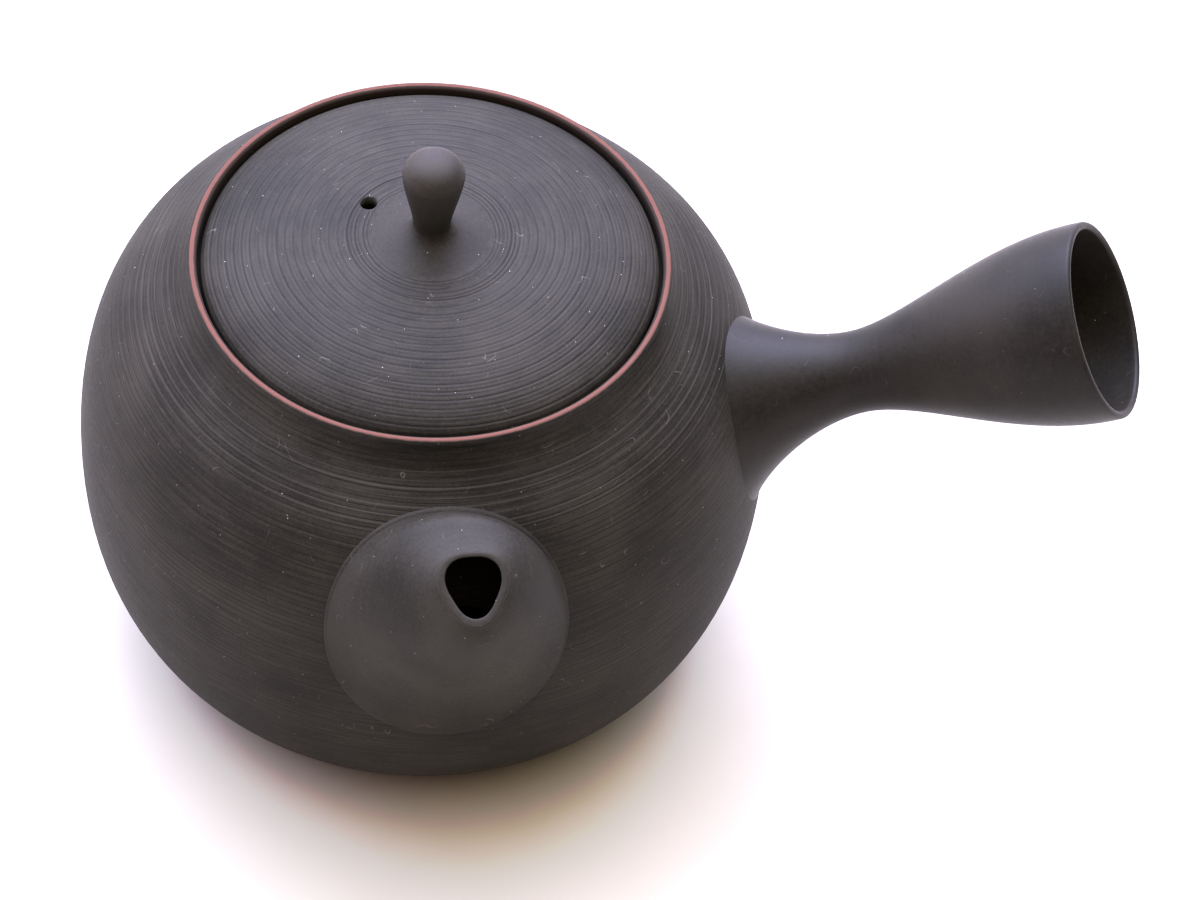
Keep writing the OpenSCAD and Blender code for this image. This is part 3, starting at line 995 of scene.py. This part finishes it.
@dataclass
class Handle:
    """Hollow trumpet luted to the side of the pot, open at its far end."""

    body: Body
    slope: float = 27.1
    axis_z: float = 29.1
    start: float = 51.7
    long: float = 65.8
    base_r: float = 19.5
    neck_r: float = 6.55
    neck_l: float = 25.0
    end_r: float = 15.6
    wall: float = 2.4
    lip_t: float = 1.3
    root_pull: float = 0.14
    root_keep: float = 0.7
    neck_pull: float = 0.4
    trumpet_start: float = 0.24
    trumpet_end: float = 0.39
    swell: float = 1.035
    lead: float = 6.0
    sink: float = 0.25
    cols: int = 136
    # Painted shade: the handle's clay is painted darker than that of the other pieces, to hold its brightness
    # down under its stronger sheen.
    finish: Stoneware = field(default_factory=lambda: replace(
        burnished("handle"), deep="#181612", pale="#2b2822", gloss=(0.42, 0.5), specular=0.13,
        grit_share=0.35, grit_depth_mm=0.014, speck_mm=1.8, lint=0.08))

    def placed(self, flat: np.ndarray, angle: np.ndarray) -> np.ndarray:
        """Put points of radius and length on the handle's slanted axis at angles round it.

        Args:
            flat: radii and lengths.
            angle: angles, in the shape of the points.

        Returns:
            Points in the pot's frame.
        """
        tilt = math.radians(90 - self.slope)
        x, y = flat[..., 0] * np.cos(angle), flat[..., 0] * np.sin(angle)
        along = flat[..., 1] + self.start
        return np.stack([x * math.cos(tilt) + along * math.sin(tilt), y,
                         self.axis_z - x * math.sin(tilt) + along * math.cos(tilt)], -1)

    def root(self, u: np.ndarray, offset: float) -> np.ndarray:
        """Profile of the root flare, u from 0 to 1, with a straight lead into the pot for u below 0."""
        curve = [[self.base_r, 0.0], [self.base_r * self.root_keep, self.neck_l * self.root_pull],
                 [self.neck_r, self.neck_l * (1 - self.neck_pull)], [self.neck_r, self.neck_l]]
        at = cubic_beside(curve, np.clip(u, 0.0, 1.0), offset)
        at[..., 1] += np.minimum(u, 0.0) * self.lead
        return at

    def meeting(self, angle: np.ndarray, offset: float) -> np.ndarray:
        """Parameter at which the flare goes into the pot, found by halving an interval 40 times.

        Args:
            angle: angles round the handle.
            offset: distance of the surface inside the outer one.

        Returns:
            One parameter per angle.
        """
        low, high = np.full(angle.shape, -1.0), np.full(angle.shape, 1.0)
        for _ in range(40):
            mid = (low + high) / 2
            at = self.placed(self.root(mid, offset), angle)
            clear = np.hypot(at[..., 0], at[..., 1]) > self.body.radius(at[..., 2]) - self.sink
            low, high = np.where(clear, low, mid), np.where(clear, mid, high)
        return (low + high) / 2

    def build(self) -> bpy.types.Object:
        """Carry the trumpet's profile round its axis, from the pot over the lip and back down the bore.

        Returns:
            The dressed piece.
        """
        angle = np.linspace(0.0, 2 * np.pi, self.cols, endpoint=False)
        rest = self.long - self.neck_l
        trumpet = [[self.neck_r, self.neck_l], [self.neck_r, self.neck_l + rest * self.trumpet_start],
                   [self.end_r * self.swell, self.long - rest * self.trumpet_end], [self.end_r, self.long]]
        share = np.linspace(0.0, 1.0, 56)[:, None] ** 1.25
        meet = self.meeting(angle, 0.0)
        outer_root = self.placed(self.root(meet + (1 - meet) * share, 0.0), angle + 0 * share)
        t = np.linspace(0.0, 1.0, 72)[1:]
        lip_r = self.lip_t / 2
        lip = arc([self.end_r - lip_r, self.long], lip_r, 0, 180, 13)[1:]
        bore = cubic_beside(trumpet, t[::-1][1:], self.wall + (self.lip_t - self.wall) * t[::-1][1:])
        flat = np.concatenate([cubic(trumpet, t), lip, bore])
        middle = self.placed(np.repeat(flat[:, None], self.cols, 1), angle + np.zeros((len(flat), 1)))
        meet = self.meeting(angle, self.wall)
        back = np.linspace(1.0, 0.0, 36)[:, None]
        inner_root = self.placed(self.root(meet + (1 - meet) * back, self.wall), angle + 0 * back)
        grid = np.concatenate([outer_root, middle, inner_root])
        piece = mesh_from_grid("handle", grid, True, plain_marks(grid))
        dress(piece, self.finish, "handle", Carrier.POT)
        return piece


@dataclass
class Spout:
    """Thin hollow cone with a wide base on the shoulder and a pinched pouring lip."""

    body: Body
    az: float = -78.8
    z: float = 51.0
    wide: float = 38.6
    high: float = 45.6
    wall: float = 2.6
    tip_az: float = -76.1
    tip_r: float = 60.8
    tip_z: float = 72.3
    tip_angle: float = 62.0
    tip_w: float = 10.5
    tip_l: float = 11.7
    tip_t: float = 1.1
    pinch: float = 0.09
    lip_over: float = 0.3
    edge: float = 0.5
    flare_h: float = 50.0
    flare_reach: float = 0.22
    neck_reach: float = 6.0
    neck_spread: float = 1.1
    sink: float = 0.3
    lip_swell: float = 0.3
    lip_square: float = 0.5
    cols: int = 176
    finish: Stoneware = field(default_factory=lambda: burnished("spout"))

    @property
    def mouth_dir(self) -> np.ndarray:
        """Direction out of the mouth."""
        a = math.radians(self.tip_angle)
        return turned_about(np.array([math.cos(a), 0.0, math.sin(a)]), self.tip_az)

    def base(self, a: np.ndarray, inset: Any, lift: Any) -> np.ndarray:
        """Base line on the pot: an ellipse laid along the curve of the wall, at a lift above it."""
        line = self.body.outside()
        run = lengths(line)
        at = np.interp(self.z, line[:, 1], run) + (self.high / 2 - inset) * np.sin(a)
        r, z = np.interp(at, run, line[:, 0]), np.interp(at, run, line[:, 1])
        az = math.radians(self.az) + (self.wide / 2 - inset) * np.cos(a) / r
        return np.stack([(r + lift) * np.cos(az), (r + lift) * np.sin(az), z], -1)

    def mouth(self, a: np.ndarray, inset: float) -> np.ndarray:
        """Edge of the mouth: an ellipse drawn to three round corners, one of them the pouring lip."""
        corner = 1 + self.pinch * np.sin(3 * a)
        side = (self.tip_w / 2 - inset) * np.cos(a) * corner
        fore = -(self.tip_l / 2 - inset) * np.sin(a) * corner - self.lip_over * inset / self.tip_t
        tilt = math.radians(self.tip_angle)
        at = np.stack([self.tip_r + fore * math.sin(tilt), side, self.tip_z - fore * math.cos(tilt)], -1)
        return turned_about(at, self.tip_az)

    def skin(self, a: np.ndarray, s: np.ndarray, inset: float, tip_inset: float) -> np.ndarray:
        """Skin of the cone: for each angle a cubic curve from the base line to the mouth.

        Args:
            a: angles round the spout.
            s: places from the base, 0, to the mouth, 1.
            inset: distance of this skin inside the outer base line.
            tip_inset: distance inside the outer edge of the mouth.

        Returns:
            Points in rows of s and columns of a.
        """
        middle = turned_about(np.array([self.tip_r, 0.0, self.tip_z]), self.tip_az)
        seat = turned_about(np.array([float(self.body.radius(np.array(self.z))), 0.0, self.z]), self.az)
        peak = seat + self.flare_h * (middle - seat) / np.linalg.norm(middle - seat)
        b, m = self.base(a, inset + self.edge, self.edge), self.mouth(a, tip_inset)
        away = (m - middle) / np.linalg.norm(m - middle, axis=-1, keepdims=True)
        pull = m + self.neck_reach * (self.neck_spread * away - self.mouth_dir)
        return cubic([b, b + self.flare_reach * (peak - b), pull, m], s[:, None] + 0 * a)

    def build(self) -> bpy.types.Object:
        """Join the outer skin, the rounded lip and the inner skin into one closed shell.

        Returns:
            The dressed piece.
        """
        a = np.linspace(0.0, 2 * np.pi, self.cols, endpoint=False)
        s = np.linspace(0.0, 1.0, 72)
        outer = self.skin(a, s, 0.0, 0.0)
        inner = self.skin(a, s[::-1][::2], self.wall, self.tip_t)
        across = (outer[-1] - inner[0]) / 2
        centre = (outer[-1] + inner[0]) / 2
        round_lip = np.radians(np.linspace(0.0, 180.0, 11))[1:-1, None, None]
        flat = np.sign(np.cos(round_lip)) * np.abs(np.cos(round_lip)) ** self.lip_square
        rise = self.mouth_dir * self.tip_t * self.lip_swell * np.sin(round_lip) ** self.lip_square
        lip = centre + across * flat + rise
        turn = np.radians(np.linspace(0.0, 90.0, 7))[:-1, None]
        step = self.base(a, self.edge * (1 - np.cos(turn)), self.edge * np.sin(turn))
        grid = np.concatenate([self.base(a, 0.0, -self.sink)[None], step, outer, lip, inner,
                               self.base(a, self.wall, -self.sink)[None]])
        piece = mesh_from_grid("spout", grid, True, plain_marks(grid))
        dress(piece, self.finish, "spout", Carrier.POT)
        return piece


@dataclass
class Strainer:
    """Perforated dome behind the spout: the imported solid, given its finish."""

    finish: Stoneware = field(default_factory=lambda: burnished("strainer"))

    def build(self) -> bpy.types.Object:
        """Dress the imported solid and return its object."""
        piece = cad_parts["strainer"]
        piece.data.materials.clear()
        piece.data.materials.append(self.finish.material())
        LOG.info("strainer: the packed solid, dressed")
        return piece


# Studio


@dataclass(frozen=True)
class Glow:
    """Soft patch of light on the surroundings, brightest in one direction."""

    azimuth: float
    elevation: float
    power: float
    tint: str
    sharp: float = 8.0

    @property
    def direction(self) -> tuple[float, float, float]:
        """Unit vector towards the brightest place."""
        a, e = math.radians(self.azimuth), math.radians(self.elevation)
        return (math.cos(e) * math.cos(a), math.cos(e) * math.sin(a), math.sin(e))

    def light(self, tree: Tree, way: Socket) -> Socket:
        """Colour of the glow in each direction.

        It is the tint, by a power of the cosine of the angle between the direction and its middle.

        Args:
            tree: the world's node tree.
            way: the direction looked in.

        Returns:
            The colour.
        """
        toward = add_node(tree, "ShaderNodeVectorMath", {0: way, 1: self.direction}, operation="DOT_PRODUCT")
        facing = maths(tree, "MAXIMUM", toward.outputs["Value"], 0.0)
        power = maths(tree, "MULTIPLY", maths(tree, "POWER", facing, self.sharp), self.power)
        return add_node(tree, "ShaderNodeVectorMath", {0: linear(self.tint)[:3], "Scale": power},
                        operation="SCALE").outputs[0]


@dataclass
class Studio:
    """Pale floor, soft light from above and behind, white surroundings and the camera."""

    eye: tuple[float, float, float] = (63.42, -622.0, 774.91)
    right: tuple[float, float, float] = (0.992365, 0.113282, 0.04876)
    up: tuple[float, float, float] = (-0.117957, 0.756311, 0.643555)
    forward: tuple[float, float, float] = (-0.036028, 0.644394, -0.7639)
    lens: float = 180.0
    sensor: float = 36.0
    clip: Pair = (0.01, 20.0)
    floor_size: float = 6000.0
    floor_side: int = 9
    print_tones: tuple[Pair, ...] = ((0.25, 0.25), (0.35, 0.41), (0.48, 0.585), (0.55, 0.64), (0.71, 0.76))
    glows: tuple[Glow, ...] = (Glow(90, 45, 18.6, "#d7d6ff"), Glow(145, 45, 10.0, "#cfd9ff"),
                               Glow(90, 72, 3.2, "#f4f6ff"), Glow(0, 72, 1.9, "#ffffdf"),
                               Glow(-90, 72, 1.2, "#ffc09a"), Glow(180, 12, 3.0, "#f4dcea"))
    floor: PaleTable = field(default_factory=PaleTable)

    def set_floor(self) -> None:
        """Lay a wide flat grid under the foot."""
        half, side = self.floor_size / 2, self.floor_side
        u = np.linspace(-half, half, side)
        x, y = np.meshgrid(u, u)
        mesh = bpy.data.meshes.new("floor")
        number = np.arange(side * side).reshape(side, side)
        quads = np.stack([number[:-1, :-1], number[:-1, 1:], number[1:, 1:], number[1:, :-1]], -1)
        quads = quads.reshape(-1, 4)
        mesh.from_pydata(np.stack([x, y, 0 * x], -1).reshape(-1, 3) * MM, [], quads.tolist())
        mesh.materials.append(self.floor.material())
        piece = bpy.data.objects.new("floor", mesh)
        bpy.context.collection.objects.link(piece)

    def set_lights(self) -> None:
        """Light the scene by the glows on its surroundings, and lift the pale tones as a print does.

        Tones below the first pair of the print's curve stay as they are, and the ware's are all there.
        """
        scene = bpy.context.scene
        scene.view_settings.view_transform = "Standard"
        scene.view_settings.use_curve_mapping = True
        mapping = scene.view_settings.curve_mapping
        combined = mapping.curves[3]
        for light, shown in self.print_tones:
            combined.points.new(light, shown).handle_type = "VECTOR"
        mapping.update()
        world = bpy.data.worlds.new("white surroundings")
        world.use_nodes = True
        world.node_tree.nodes.clear()
        tree = world.node_tree
        way = add_node(tree, "ShaderNodeTexCoord").outputs["Generated"]
        total = self.glows[0].light(tree, way)
        for glow in self.glows[1:]:
            total = vectors(tree, "ADD", total, glow.light(tree, way))
        sky = add_node(tree, "ShaderNodeBackground", {"Color": total, "Strength": 1.0}).outputs[0]
        # The backdrop that the camera itself sees past the floor is plain white
        white = {"Color": (1.0, 1.0, 1.0, 1.0), "Strength": 1.0}
        plain = add_node(tree, "ShaderNodeBackground", white).outputs[0]
        seen = add_node(tree, "ShaderNodeLightPath").outputs["Is Camera Ray"]
        both = add_node(tree, "ShaderNodeMixShader", {0: seen, 1: sky, 2: plain}).outputs[0]
        add_node(tree, "ShaderNodeOutputWorld", {"Surface": both})
        scene.world = world

    def set_camera(self) -> None:
        """Stand the camera where the photograph was taken from."""
        data = bpy.data.cameras.new("camera")
        data.lens, data.sensor_width = self.lens, self.sensor
        data.clip_start, data.clip_end = self.clip
        turn = np.eye(4)
        turn[:3, 0], turn[:3, 1], turn[:3, 2] = self.right, self.up, -np.asarray(self.forward)
        turn[:3, 3] = np.asarray(self.eye) * MM
        camera = bpy.data.objects.new("camera", data)
        camera.matrix_world = Matrix(turn.tolist())
        bpy.context.collection.objects.link(camera)
        bpy.context.scene.camera = camera

    def build(self) -> None:
        """Set up the floor, the lights and the camera."""
        self.set_floor()
        self.set_lights()
        self.set_camera()


def main() -> None:
    """Build the studio and the pieces in order."""
    logging.basicConfig(level=logging.INFO, format="%(name)s: %(message)s")
    Studio().build()
    body = Body()
    body.build()
    Spout(body).build()
    Handle(body).build()
    Strainer().build()
    lid = Lid(body)
    lid.build()
    Knob(lid).build()


if __name__ == "__main__":
    main()
